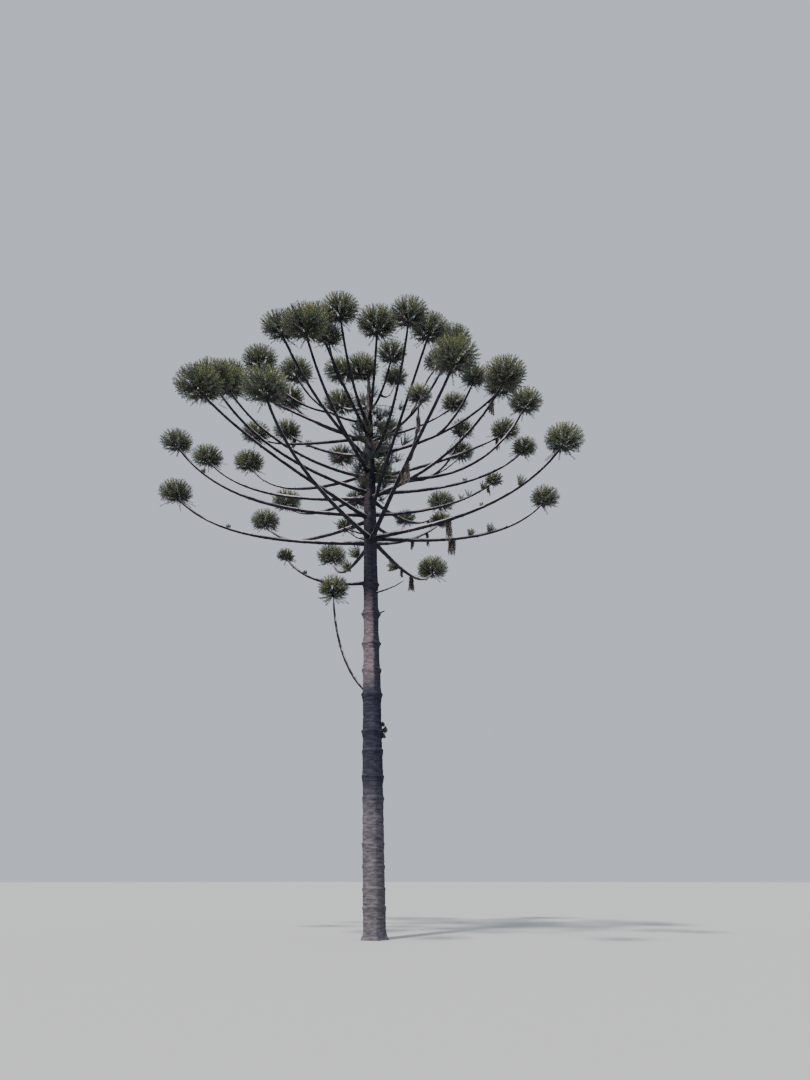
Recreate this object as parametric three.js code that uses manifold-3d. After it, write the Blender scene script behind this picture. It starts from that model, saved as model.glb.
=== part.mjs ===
// A tall candelabra conifer, the Parana pine: one straight scarred trunk, whorls of boughs that
// sweep out and up, and a dome of foliage at the end of each. Millimetres, +Z up, origin at the
// middle of the flat cut at ground level. Bearings are in degrees, anticlockwise from +X.
import * as THREE from "three";
import { mergeVertices } from "three/addons/utils/BufferGeometryUtils.js";
import Module from "manifold-3d";

const wasm = await Module();
wasm.setup();

// Trunk: height of its tip, sideways lean for each unit of height, and its diameter by height.
const TRUNK_TIP = 18300;
const TRUNK_LEAN = -0.025;
const TRUNK_DIAMETERS = [
  [0, 770],
  [110, 690],
  [300, 650],
  [4300, 620],
  [5300, 600],
  [6300, 580],
  [7500, 560],
  [7800, 515],
  [9000, 480],
  [11200, 455],
  [12050, 445],
  [14450, 400],
  [15850, 330],
  [17100, 190],
  [TRUNK_TIP, 90],
];
const TRUNK_SIDES = 12;

// Collars left by old whorls: height, and how far each stands out as a share of the radius.
const SCARS = [
  [820, 0.02],
  [1310, 0.025],
  [1900, 0.03],
  [2530, 0.03],
  [3800, 0.05],
  [4420, 0.08],
  [5180, 0.08],
  [5750, 0.12],
  [6880, 0.16],
  [7670, 0.13],
  [8510, 0.21],
  [9500, 0.25],
  [10500, 0.16],
];
const SCAR_HALF_HEIGHT = 160;

// Dead stubs on the trunk: height, bearing, length, radius at the trunk.
const STUBS = [
  [10200, 335, 1150, 34],
  [9500, 355, 440, 50],
  [12250, 200, 1300, 36],
];
const STUB_RISE = 0.22;
const STUB_TAPER = 0.55;
const STUB_STEPS = 3;

// Whorls: height where their limbs leave the trunk, rise from there to the middle of the foliage,
// and the limbs as [bearing, reach, size of the foliage, arch, extra rise], of which the last two
// may be left out. A nested list is a forked limb.
const WHORLS = [
  { height: 6800, rise: 3600, limbs: [[183, 1300, 0.75]] },
  { height: 10500, rise: 1450, limbs: [[160, 3200, 0.45]] },
  {
    height: 12050,
    rise: 1750,
    limbs: [
      [3, 6000, 0.75, -0.07],
      [43, 3400, 0.6, 0.2],
      [72, 7500, 0.97, 0, -120],
      [107, 6250, 0.9],
      [110, 3050, 0.55, 0.3],
      [181, 6650, 0.85],
      [249, 7250, 1],
      [[288, 7950, 0.96, 0.6, 400], [292, 4220, 0.6, 0, 1500]],
      [327, 7050, 0.9, -0.1],
    ],
  },
  {
    height: 12900,
    rise: 2400,
    limbs: [
      [24, 4900, 0.5, 0.2],
      [78, 5750, 0.65, 0.15],
      [100, 3900, 0.75, 0.3],
      [128, 7450, 0.9, 0.13],
      [188, 6600, 0.8, -0.06],
      [222, 6700, 1.1, 0.35],
      [302, 3750, 0.95, 0.45, 2950],
    ],
  },
  {
    height: 13700,
    rise: 2300,
    limbs: [
      [8, 5550, 0.7, 0.12],
      [64, 6100, 0.85],
      [124, 6550, 0.9, 0.2],
      [166, 6250, 0.85, 0.08],
      [219, 6100, 1],
      [317, 5850, 1],
    ],
  },
  {
    height: 14450,
    rise: 2400,
    limbs: [
      [350, 5450, 0.9, -0.35],
      [[39, 4350, 0.75, 0.1], [16, 3450, 0.65]],
      [[87, 4150, 0.7, 0.3], [80, 2700, 0.55, 0.3]],
      [112, 3350, 0.8, 0.25],
      [144, 6100, 0.9],
      [205, 5150, 1.05],
      [252, 5650, 1.05, 0.15],
      [12, 5000, 0.8, 0.3],
    ],
  },
  {
    height: 15150,
    rise: 2500,
    limbs: [
      [143, 4150, 0.8, 0.25],
      [237, 4900, 0.9, 0.15],
      [[350, 4700, 0.95, 0.1], [340, 3850, 0.75, 0.2]],
      [289, 4200, 0.95, -0.1, 600],
    ],
  },
  {
    height: 15850,
    rise: 2400,
    limbs: [
      [25, 3450, 0.75, 0.25],
      [79, 3550, 0.75, 0.3],
      [160, 3300, 0.9, 0.2],
      [185, 5000, 1, 0.35],
      [[247, 4000, 0.95, 0.35], [246, 3100, 0.75]],
      [[326, 3500, 0.95, 0, 450], [347, 2550, 0.85, 0.6, 450]],
      [149, 5300, 0.85, 0.3, -600],
    ],
  },
  {
    height: 16500,
    rise: 2200,
    limbs: [
      [[180, 2700, 0.95], [191, 3950, 0.95]],
      [257, 3700, 0.95],
      [277, 2900, 1.05],
    ],
  },
  {
    height: 17100,
    rise: 1500,
    limbs: [
      [121, 2400, 0.95, 0.3],
      [[302, 1550, 0.8], [12, 950, 0.7]],
    ],
  },
];
const WHORL_STAGGER = 90;

// The leader's domes: offset along X from the trunk's tip, rise above it, and size.
const LEADER_DOMES = [
  [-270, 550, 0.95],
  [-1040, 400, 0.9],
];

// Limbs: those that reach this far are boughs with a node of their own, and the rest are the
// stems of their foliage. A limb is thicker at the trunk the further it reaches, runs level for
// LEVEL_SHARE of its reach with a slight sag, and has turned up by TURN_SHARE of it. The steeper a
// limb rises the sooner it turns up, from TURN_SLOPE on.
const BOUGH_REACH = 6150;
const LIMB_BASE_RADIUS = 42;
const LIMB_RADIUS_FOR_REACH = 0.0048;
const LIMB_TIP_RADIUS = 36;
const TAPER_POWER = 1.2;
const SAG = 50;
const LEVEL_SHARE = 0.45;
const TURN_SHARE = 0.8;
const STEEP_LEVEL_RISE = 0.1;
const STEEP_TURN_SHARE = 0.95;
const TURN_SLOPE = 0.16;
const TURN_RISE_FOR_SLOPE = 1.25;
const TURN_RISES = [0.05, 0.42];
const FORK_AT = 0.42;
const ARM_THICKNESS = 0.8;
const BOUGH_SIDES = 6;
const STEM_SIDES = 5;
const LIMB_STEP = 1200;

// Foliage: a dome of sprays round a heart that lies below its middle.
const DOME_RADIUS = 660;
const DOME_HEIGHT = 0.78;
const HEART_DROP = 0.25;
const CORE_SHARE = 0.78;
const SPRAYS = 11;
const SPRAY_LOWEST = -0.42;
const SPRAY_RADIUS = 105;
const SPRAY_ROOT = 0.5;
const SPRAY_SIDES = 3;
const SPRAY_SHORTEST = 0.93;
const SPRAY_TRIMS = [1, 0.86, 0.74];
const ENTRY_SHARE = 0.9;
const ENTRY_STEP = 10;
const GOLDEN_ANGLE = Math.PI * (3 - Math.sqrt(5));

// Clearances between solids: where they meet, and where foliage keeps off its neighbours.
const SEAT_GAP = 0.3;
const FOLIAGE_GAP = 12;
const TRUNK_ROW_STEPS = 60;
const LIMB_ROW_STEPS = 24;
const NEIGHBOUR_REACH = 4;
const NEAR_LIMB_REACH = 2;

const BARK = new THREE.MeshStandardMaterial({ color: 0x54484a, roughness: 0.95, metalness: 0 });
const BOUGH_BARK = new THREE.MeshStandardMaterial({ color: 0x6b5a56, roughness: 0.9, metalness: 0 });
const NEEDLES = new THREE.MeshStandardMaterial({ color: 0x47522a, roughness: 0.85, metalness: 0 });

// A seeded sequence of numbers from 0 to 1.
function seeded(seed) {
  let state = seed >>> 0;
  return () => {
    state = (Math.imul(state, 1664525) + 1013904223) >>> 0;
    return state / 4294967296;
  };
}

function interpolate(table, at) {
  for (let i = 1; i < table.length; i++) {
    const [x0, y0] = table[i - 1];
    const [x1, y1] = table[i];
    if (at <= x1) return y0 + ((y1 - y0) * (at - x0)) / (x1 - x0);
  }
  return table[table.length - 1][1];
}

function polar(bearing, reach, z) {
  const angle = THREE.MathUtils.degToRad(bearing);
  return new THREE.Vector3(reach * Math.cos(angle), reach * Math.sin(angle), z);
}

function onTrunkAxis(height) {
  return new THREE.Vector3(TRUNK_LEAN * height, 0, height);
}

// A closed solid from a geometry, whose faces of no area are left out.
function solidOf(geometry) {
  geometry.deleteAttribute("normal");
  geometry.deleteAttribute("uv");
  const merged = mergeVertices(geometry, 1e-3);
  const corners = merged.index.array;
  const triVerts = [];
  for (let i = 0; i < corners.length; i += 3) {
    const [a, b, c] = [corners[i], corners[i + 1], corners[i + 2]];
    if (a !== b && b !== c && c !== a) triVerts.push(a, b, c);
  }
  const vertProperties = merged.attributes.position.array;
  return new wasm.Manifold(
    new wasm.Mesh({ numProp: 3, vertProperties, triVerts: new Uint32Array(triVerts) }),
  );
}

// A named mesh of a solid, placed at the point it grows from.
function meshOf(solid, name, material, root) {
  const { vertProperties, triVerts } = solid.getMesh();
  const geometry = new THREE.BufferGeometry();
  geometry.setAttribute("position", new THREE.BufferAttribute(vertProperties, 3));
  geometry.setIndex(new THREE.BufferAttribute(triVerts, 1));
  geometry.translate(-root.x, -root.y, -root.z);
  geometry.computeVertexNormals();
  const mesh = new THREE.Mesh(geometry, material);
  mesh.name = name;
  mesh.position.copy(root);
  return mesh;
}

function union(solids) {
  return wasm.Manifold.union(solids);
}

function largestBody(solid) {
  return solid.decompose().reduce((best, body) => (body.volume() > best.volume() ? body : best));
}

// The path's own cross directions, kept from twisting by holding one of them level.
function frameAt(path, share) {
  const centre = path.getPoint(share);
  const along = path.getTangent(share);
  const side = new THREE.Vector3(-along.y, along.x, 0);
  if (side.lengthSq() < 1e-8) side.set(1, 0, 0);
  side.normalize();
  const up = new THREE.Vector3().crossVectors(side, along).normalize();
  return { centre, side, up };
}

// A turned taper, closed at both ends, bent along a path. Its profile is a list of
// [share of the path, radius].
function bentTaper(path, profile, sides) {
  const frames = profile.map(([share]) => frameAt(path, share));
  const outline = [
    new THREE.Vector2(0, 0),
    ...profile.map(([, radius], ring) => new THREE.Vector2(radius, ring)),
    new THREE.Vector2(0, profile.length - 1),
  ];
  const geometry = new THREE.LatheGeometry(outline, sides);
  const position = geometry.attributes.position;
  for (let i = 0; i < position.count; i++) {
    const { centre, side, up } = frames[Math.round(position.getY(i))];
    const point = centre
      .clone()
      .addScaledVector(side, position.getX(i))
      .addScaledVector(up, position.getZ(i));
    position.setXYZ(i, point.x, point.y, point.z);
  }
  return solidOf(geometry);
}

// Trunk: turned from its profile of tapers and scar collars, then leaned.
function trunkRadius(height) {
  return interpolate(TRUNK_DIAMETERS, height) / 2;
}

// Whether a height lies on a collar, between its upper and lower edge.
function onCollar(at) {
  return SCARS.some(([height]) => Math.abs(at - height) <= SCAR_HALF_HEIGHT);
}

function trunkProfile() {
  const rows = TRUNK_DIAMETERS.map(([height, diameter]) => [height, diameter / 2]);
  for (const [height, swell] of SCARS) {
    rows.push([height - SCAR_HALF_HEIGHT, trunkRadius(height - SCAR_HALF_HEIGHT)]);
    rows.push([height, trunkRadius(height) * (1 + swell)]);
    rows.push([height + SCAR_HALF_HEIGHT, trunkRadius(height + SCAR_HALF_HEIGHT)]);
  }
  return rows
    .filter(([height], i) => i >= TRUNK_DIAMETERS.length || !onCollar(height))
    .sort((a, b) => a[0] - b[0]);
}

function turnedTrunk(extra) {
  const outline = [
    new THREE.Vector2(0, 0),
    ...trunkProfile().map(([height, radius]) => new THREE.Vector2(radius + extra, height)),
    new THREE.Vector2(0, TRUNK_TIP),
  ];
  const geometry = new THREE.LatheGeometry(outline, TRUNK_SIDES);
  geometry.rotateX(Math.PI / 2);
  geometry.applyMatrix4(new THREE.Matrix4().makeShear(0, 0, 0, 0, TRUNK_LEAN, 0));
  return solidOf(geometry);
}

// Limb paths: near level where they leave the trunk, then sweeping up. An arch lifts the path
// between its ends by that share of its rise.
function sweepingPath(start, end, arch = 0) {
  const flat = new THREE.Vector3(end.x - start.x, end.y - start.y, 0);
  const rise = end.z - start.z;
  const slope = rise / flat.length();
  const steep = THREE.MathUtils.clamp(slope - 1, 0, 1);
  const turnRise = THREE.MathUtils.clamp(TURN_RISE_FOR_SLOPE * (slope - TURN_SLOPE), ...TURN_RISES);
  const turnShare = THREE.MathUtils.lerp(TURN_SHARE, STEEP_TURN_SHARE, steep);
  const first = start.clone().addScaledVector(flat, LEVEL_SHARE);
  first.z += (STEEP_LEVEL_RISE * steep + arch) * rise - SAG;
  const second = start.clone().addScaledVector(flat, turnShare);
  second.z += (turnRise + arch) * rise;
  return new THREE.CubicBezierCurve3(start, first, second, end);
}

function limbRadius({ base }, share) {
  return LIMB_TIP_RADIUS + (base - LIMB_TIP_RADIUS) * (1 - share) ** TAPER_POWER;
}

// Even shares of a limb's own stretch of its path.
function sharesOf({ from, to }, steps) {
  return Array.from({ length: steps + 1 }, (_, i) => from + ((to - from) * i) / steps);
}

function limbSolid(limb, extra = 0) {
  const length = (limb.to - limb.from) * limb.path.getLength();
  const steps = Math.max(1, Math.round(length / LIMB_STEP));
  const profile = sharesOf(limb, steps).map((share) => [share, limbRadius(limb, share) + extra]);
  return bentTaper(limb.path, profile, limb.sides);
}

// Dead stub: a thin broken limb that curves up a little.
function stubSolid([height, bearing, length, radius]) {
  const start = onTrunkAxis(height);
  const middle = polar(bearing, 0.5 * length, 0).add(start);
  const end = polar(bearing, length, STUB_RISE * length).add(start);
  const path = new THREE.QuadraticBezierCurve3(start, middle, end);
  const shares = sharesOf({ from: 0, to: 1 }, STUB_STEPS);
  const profile = shares.map((share) => [share, radius * (1 - STUB_TAPER * share)]);
  return bentTaper(path, profile, STEM_SIDES);
}

// Every limb and dome of foliage is laid out before any solid is made.
function domeAt(foot, rise, [bearing, reach, size, arch = 0, extraRise = 0]) {
  const middle = polar(bearing, reach, rise + extraRise).add(foot);
  return { middle, radius: DOME_RADIUS * size, reach, arch };
}

function heartOf(dome) {
  return dome.middle.clone().setZ(dome.middle.z - HEART_DROP * dome.radius);
}

// The share of a path at which it enters a dome.
function entryShare(path, dome) {
  const length = path.getLength();
  let share = 1;
  while (path.getPoint(share).distanceTo(dome.middle) < ENTRY_SHARE * dome.radius) {
    share -= ENTRY_STEP / length;
  }
  return share;
}

function layOutLimb(whorl, limb, place) {
  const forks = Array.isArray(limb[0]) ? limb : [limb];
  const domes = forks.map((fork) => domeAt(onTrunkAxis(whorl.height), whorl.rise, fork));
  const stagger = place % 2 ? -WHORL_STAGGER : WHORL_STAGGER;
  const start = onTrunkAxis(whorl.height + stagger);
  const path = sweepingPath(start, heartOf(domes[0]), domes[0].arch);
  const base = LIMB_BASE_RADIUS + LIMB_RADIUS_FOR_REACH * domes[0].reach;
  const stem = { path, base, from: 0, to: 1, sides: STEM_SIDES };
  const arms = domes.slice(1).map((dome) => ({
    path: sweepingPath(path.getPoint(FORK_AT), heartOf(dome), dome.arch),
    base: ARM_THICKNESS * base,
    from: 0,
    to: 1,
    sides: STEM_SIDES,
  }));
  if (arms.length > 0 || domes[0].reach < BOUGH_REACH) {
    return { domes, bough: null, stems: [stem, ...arms] };
  }
  const end = entryShare(path, domes[0]);
  const bough = { path, base, from: 0, to: end, sides: BOUGH_SIDES };
  stem.from = end + SEAT_GAP / path.getLength();
  return { domes, bough, stems: [stem] };
}

// The leader: its stem stands on the trunk's tip and leans into the first of its two domes, and an
// arm of it carries the second.
function layOutLeader() {
  const start = onTrunkAxis(TRUNK_TIP).setZ(TRUNK_TIP + SEAT_GAP);
  const domes = LEADER_DOMES.map(([aside, rise, size]) => ({
    middle: onTrunkAxis(TRUNK_TIP).add(new THREE.Vector3(aside, 0, rise)),
    radius: DOME_RADIUS * size,
    reach: 0,
  }));
  const end = heartOf(domes[0]);
  const path = new THREE.QuadraticBezierCurve3(start, start.clone().setZ(end.z), end);
  const arm = sweepingPath(path.getPoint(FORK_AT), heartOf(domes[1]));
  const stems = [path, arm].map((stem) => {
    return { path: stem, base: LIMB_TIP_RADIUS, from: 0, to: 1, sides: STEM_SIDES };
  });
  return { domes, bough: null, stems };
}

const plants = WHORLS.flatMap((whorl) =>
  whorl.limbs.map((limb, place) => layOutLimb(whorl, limb, place)),
);
plants.push(layOutLeader());

// What foliage keeps clear of: the trunk and every limb as rows of points with a radius.
const trunkRow = sharesOf({ from: 0, to: TRUNK_TIP }, TRUNK_ROW_STEPS).map((height) => ({
  point: onTrunkAxis(height),
  radius: trunkRadius(height),
}));

function limbRow(limb) {
  return sharesOf(limb, LIMB_ROW_STEPS).map((share) => ({
    point: limb.path.getPoint(share),
    radius: limbRadius(limb, share),
  }));
}

const rows = [{ owner: null, row: trunkRow }];
for (const plant of plants) {
  if (plant.bough) rows.push({ owner: null, row: limbRow(plant.bough) });
  for (const stem of plant.stems) rows.push({ owner: plant, row: limbRow(stem) });
}

function distanceToRow(point, row) {
  const nearest = new THREE.Vector3();
  let least = Infinity;
  for (let i = 1; i < row.length; i++) {
    new THREE.Line3(row[i - 1].point, row[i].point).closestPointToPoint(point, true, nearest);
    const radius = Math.max(row[i - 1].radius, row[i].radius);
    least = Math.min(least, nearest.distanceTo(point) - radius);
  }
  return least;
}

// How far a point lies inside a dome's own space, which ends at the plane between it and each
// neighbour where both domes are equally near.
function roomInSpace(point, dome, others) {
  const own = point.distanceToSquared(dome.middle) - dome.radius ** 2;
  let room = Infinity;
  for (const other of others) {
    const theirs = point.distanceToSquared(other.middle) - other.radius ** 2;
    room = Math.min(room, (theirs - own) / (2 * other.middle.distanceTo(dome.middle)));
  }
  return room;
}

// The distance from the heart to the dome's surface along a direction.
function reachFromHeart(direction, dome) {
  const tall = DOME_HEIGHT * dome.radius;
  const drop = HEART_DROP * dome.radius;
  const flat = direction.x ** 2 + direction.y ** 2;
  const a = flat / dome.radius ** 2 + direction.z ** 2 / tall ** 2;
  const b = (-2 * drop * direction.z) / tall ** 2;
  const c = drop ** 2 / tall ** 2 - 1;
  return (-b + Math.sqrt(b * b - 4 * a * c)) / (2 * a);
}

function sprayFits(heart, end, dome, others, near) {
  return [SPRAY_ROOT, (1 + SPRAY_ROOT) / 2, 1].every((share) => {
    const spot = heart.clone().lerp(end, share);
    const gap = (SPRAY_RADIUS * (1 - share)) / (1 - SPRAY_ROOT) + FOLIAGE_GAP;
    if (roomInSpace(spot, dome, others) < gap) return false;
    return near.every(({ row }) => distanceToRow(spot, row) > gap);
  });
}

// A spray: a slim three-sided leaf whose root is sunk in the core.
function spraySolid(heart, end) {
  const profile = [
    [SPRAY_ROOT, SPRAY_RADIUS],
    [1, 0],
  ];
  return bentTaper(new THREE.LineCurve3(heart, end), profile, SPRAY_SIDES);
}

function coreSolid(dome, radius, turn) {
  const core = new THREE.IcosahedronGeometry(radius, 0);
  core.scale(1, 1, DOME_HEIGHT);
  core.rotateZ(turn);
  core.translate(dome.middle.x, dome.middle.y, dome.middle.z);
  return solidOf(core);
}

// One dome: a core, and sprays that stand out of it all round by the golden angle. A spray that
// would leave the dome's space or touch a limb is trimmed, and if it still would it is skipped.
function domeSolids(dome, plant, random) {
  const heart = heartOf(dome);
  const others = plants
    .flatMap((other) => other.domes)
    .filter((other) => other !== dome)
    .filter((other) => other.middle.distanceTo(dome.middle) < NEIGHBOUR_REACH * DOME_RADIUS);
  const near = rows.filter(({ owner, row }) => {
    return owner !== plant && distanceToRow(dome.middle, row) < NEAR_LIMB_REACH * dome.radius;
  });
  const room = roomInSpace(dome.middle, dome, others) - FOLIAGE_GAP;
  const turn = 2 * Math.PI * random();
  const solids = [coreSolid(dome, Math.min(CORE_SHARE * dome.radius, room), turn)];
  for (let i = 0; i < SPRAYS; i++) {
    const sine = SPRAY_LOWEST + ((1 - SPRAY_LOWEST) * (i + 0.5)) / SPRAYS;
    const flat = Math.sqrt(1 - sine * sine);
    const angle = turn + i * GOLDEN_ANGLE;
    const direction = new THREE.Vector3(flat * Math.cos(angle), flat * Math.sin(angle), sine);
    const full = THREE.MathUtils.lerp(SPRAY_SHORTEST, 1, random());
    const ends = SPRAY_TRIMS.map((trim) =>
      heart.clone().addScaledVector(direction, trim * full * reachFromHeart(direction, dome)),
    );
    const end = ends.find((tip) => sprayFits(heart, tip, dome, others, near));
    if (end) solids.push(spraySolid(heart, end));
  }
  return solids;
}

// Limbs in the order they are fitted: all boughs first, then the stems of the foliage.
const fittings = plants.flatMap((plant, number) => [
  ...(plant.bough ? [{ limb: plant.bough, owner: plant, order: number - plants.length }] : []),
  ...plant.stems.map((stem) => ({ limb: stem, owner: plant, order: number })),
]);
for (const fitting of fittings) fitting.solid = limbSolid(fitting.limb);

// Cuts a solid clear of the limbs that it would touch.
function clearOf(solid, others) {
  return others.reduce((left, { limb, solid: other }) => {
    if (left.minGap(other, SEAT_GAP) >= SEAT_GAP) return left;
    return left.subtract(limbSolid(limb, SEAT_GAP));
  }, solid);
}

const trunkWithGap = turnedTrunk(SEAT_GAP);

function boughMesh(plant, number, label) {
  const order = number - plants.length;
  const earlier = fittings.filter((fitting) => fitting.order < order);
  const bough = clearOf(limbSolid(plant.bough).subtract(trunkWithGap), earlier);
  return meshOf(largestBody(bough), "bough_" + label, BOUGH_BARK, plant.bough.path.getPoint(0));
}

function foliageMesh(plant, number, label) {
  const random = seeded(number + 1);
  const earlier = fittings.filter((fitting) => fitting.order < number);
  const stems = clearOf(
    union(plant.stems.map((stem) => limbSolid(stem))).subtract(trunkWithGap),
    earlier,
  );
  const foreign = fittings.filter(({ owner, limb }) => owner !== plant || limb === plant.bough);
  const domes = clearOf(
    union(plant.domes.flatMap((dome) => domeSolids(dome, plant, random))).subtract(trunkWithGap),
    foreign,
  );
  const mass = largestBody(stems.add(domes));
  return meshOf(mass, "foliage_" + label, NEEDLES, plant.stems[0].path.getPoint(0));
}

const tree = new THREE.Group();
const trunk = union([turnedTrunk(0), ...STUBS.map((stub) => stubSolid(stub))]);
tree.add(meshOf(trunk, "trunk", BARK, new THREE.Vector3()));
plants.forEach((plant, number) => {
  const limb = new THREE.Group();
  const label = String(number + 1).padStart(2, "0");
  if (plant.bough) limb.add(boughMesh(plant, number, label));
  limb.add(foliageMesh(plant, number, label));
  tree.add(limb);
});

export default tree;
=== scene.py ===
import math

import bpy
import numpy as np
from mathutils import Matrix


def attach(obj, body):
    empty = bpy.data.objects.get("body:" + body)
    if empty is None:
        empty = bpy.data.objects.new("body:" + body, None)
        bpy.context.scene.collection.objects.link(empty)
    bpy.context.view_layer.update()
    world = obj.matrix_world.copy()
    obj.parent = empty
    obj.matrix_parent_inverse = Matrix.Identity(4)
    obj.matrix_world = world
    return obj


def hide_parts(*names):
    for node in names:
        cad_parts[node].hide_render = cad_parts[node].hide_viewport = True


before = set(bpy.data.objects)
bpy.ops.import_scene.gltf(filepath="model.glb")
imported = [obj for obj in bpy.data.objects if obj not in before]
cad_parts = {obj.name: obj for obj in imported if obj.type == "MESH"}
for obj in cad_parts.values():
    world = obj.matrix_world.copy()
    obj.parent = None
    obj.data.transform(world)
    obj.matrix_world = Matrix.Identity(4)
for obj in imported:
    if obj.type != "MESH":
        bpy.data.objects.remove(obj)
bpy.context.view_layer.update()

# A Parana pine in metres, +Z up, on the solids' own rules: the trunk's taper and lean, the whorls
# and the limbs' sweep are those of the solids, and the domes grow far finer branchlets.

# Trunk: height of its tip, lean for each unit of height, and diameter by height.
TRUNK_TIP = 18.3
TRUNK_LEAN = -0.025
TRUNK_DIAMETERS = (
    (0, 0.77), (0.11, 0.69), (0.3, 0.65), (4.3, 0.62), (5.3, 0.6), (6.3, 0.58), (7.5, 0.56),
    (7.8, 0.515), (9, 0.48), (11.2, 0.455), (12.05, 0.445), (14.45, 0.4), (15.85, 0.33),
    (17.1, 0.19), (TRUNK_TIP, 0.09),
)

# Collars left by old whorls: height, and how far each stands out as a share of the radius.
SCARS = (
    (0.82, 0.02), (1.31, 0.025), (1.9, 0.03), (2.53, 0.03), (3.8, 0.05), (4.42, 0.08), (5.18, 0.08),
    (5.75, 0.12), (6.88, 0.16), (7.67, 0.13), (8.51, 0.21), (9.5, 0.25), (10.5, 0.16),
)
SCAR_SPREAD = 0.13

# Dead stubs on the trunk: height, bearing, length, radius at the trunk.
STUBS = (
    (10.2, 335, 1.15, 0.04),
    (9.5, 355, 0.44, 0.05),
    (12.25, 200, 1.3, 0.036),
)

# Whorls: height, rise from there to the middle of the foliage, and the limbs as (bearing, reach,
# size of the foliage, arch, extra rise), of which the last two may be left out. A forked limb is
# a pair of these.
WHORLS = (
    (6.8, 3.6, ((183, 1.3, 0.75),)),
    (10.5, 1.45, ((160, 3.2, 0.45),)),
    (12.05, 1.75, (
        (3, 6.0, 0.75, -0.07), (43, 3.4, 0.6, 0.2), (72, 7.5, 0.97, 0, -0.12), (107, 6.25, 0.9),
        (110, 3.05, 0.55, 0.3), (181, 6.65, 0.85), (249, 7.25, 1),
        ((288, 7.95, 0.96, 0.6, 0.4), (292, 4.22, 0.6, 0, 1.5)), (327, 7.05, 0.9, -0.1),
    )),
    (12.9, 2.4, (
        (24, 4.9, 0.5, 0.2), (78, 5.75, 0.65, 0.15), (100, 3.9, 0.75, 0.3), (128, 7.45, 0.9, 0.13),
        (188, 6.6, 0.8, -0.06), (222, 6.7, 1.1, 0.35), (302, 3.75, 0.95, 0.45, 2.95),
    )),
    (13.7, 2.3, (
        (8, 5.55, 0.7, 0.12), (64, 6.1, 0.85), (124, 6.55, 0.9, 0.2), (166, 6.25, 0.85, 0.08),
        (219, 6.1, 1), (317, 5.85, 1),
    )),
    (14.45, 2.4, (
        (350, 5.45, 0.9, -0.35), ((39, 4.35, 0.75, 0.1), (16, 3.45, 0.65)),
        ((87, 4.15, 0.7, 0.3), (80, 2.7, 0.55, 0.3)), (112, 3.35, 0.8, 0.25), (144, 6.1, 0.9),
        (205, 5.15, 1.05), (252, 5.65, 1.05, 0.15), (12, 5.0, 0.8, 0.3),
    )),
    (15.15, 2.5, (
        (143, 4.15, 0.8, 0.25), (237, 4.9, 0.9, 0.15),
        ((350, 4.7, 0.95, 0.1), (340, 3.85, 0.75, 0.2)), (289, 4.2, 0.95, -0.1, 0.6),
    )),
    (15.85, 2.4, (
        (25, 3.45, 0.75, 0.25), (79, 3.55, 0.75, 0.3), (160, 3.3, 0.9, 0.2), (185, 5.0, 1, 0.35),
        ((247, 4.0, 0.95, 0.35), (246, 3.1, 0.75)),
        ((326, 3.5, 0.95, 0, 0.45), (347, 2.55, 0.85, 0.6, 0.45)), (149, 5.3, 0.85, 0.3, -0.6),
    )),
    (16.5, 2.2, (((180, 2.7, 0.95), (191, 3.95, 0.95)), (257, 3.7, 0.95), (277, 2.9, 1.05))),
    (17.1, 1.5, ((121, 2.4, 0.95, 0.3), ((302, 1.55, 0.8), (12, 0.95, 0.7)))),
)
WHORL_STAGGER = 0.09

# The leader's domes: offset along X from the trunk's tip, rise above it, and size.
LEADER_DOMES = ((-0.27, 0.55, 0.95), (-1.04, 0.4, 0.9))
LEADER_PARTING_SHARE = 0.2

# Limbs, as in the solids.
BOUGH_REACH = 6.15
LIMB_BASE_RADIUS = 0.042
LIMB_RADIUS_FOR_REACH = 0.0048
LIMB_TIP_RADIUS = 0.036
TAPER_POWER = 1.2
SAG = 0.05
LEVEL_SHARE = 0.45
TURN_SHARE = 0.8
STEEP_LEVEL_RISE = 0.1
STEEP_TURN_SHARE = 0.95
TURN_SLOPE = 0.16
TURN_RISE_FOR_SLOPE = 1.25
TURN_RISES = (0.05, 0.42)
FORK_AT = 0.42
ARM_THICKNESS = 0.8

# Domes of foliage, as in the solids, with finer branchlets in place of their sprays.
DOME_RADIUS = 0.66
DOME_HEIGHT = 0.78
HEART_DROP = 0.25
PARTING = 0.32
GOLDEN_ANGLE = math.pi * (3 - math.sqrt(5))
FOLIAGE_GAP = 0.012
MAIN_TWIGS = 16
MAIN_TWIG_SHARE = 0.58
BRANCHLETS = 330
LOWEST_SINE = -0.72
TRIMS = (1, 0.87, 0.74, 0.61)
FULLEST = 1.05
RAGGED = 0.13
INNER_EVERY = 4
INNER_FULL = 0.7
BRANCHLET_RADIUS = 0.035
WHISKERS = 9
NEEDLES = 22
NEEDLED_LENGTH = 0.32
NEEDLE_LENGTH = 0.064
NEEDLE_WIDTH = 0.025
TWIG_RADIUS = 0.008
PIECE_TRIANGLES = 180000

# Camera: where the photograph was taken from, and its pitch and lens.
CAMERA_AT = (0.857, -26.0, 1.6)
CAMERA_PITCH = 21.94
CAMERA_LENS = 28.0
CAMERA_SENSOR = 36.0


# Numbers and curves

LEAST_LENGTH = 1e-9
UPRIGHT_BELOW = 1e-4
LENGTH_STEPS = 60
SEQUENCE_FACTOR = 1664525
SEQUENCE_STEP = 1013904223
SEQUENCE_RANGE = 2 ** 32


def seeded(state):
    """The solids' own seeded sequence of numbers from 0 to 1."""
    while True:
        state = (state * SEQUENCE_FACTOR + SEQUENCE_STEP) % SEQUENCE_RANGE
        yield state / SEQUENCE_RANGE


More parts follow.
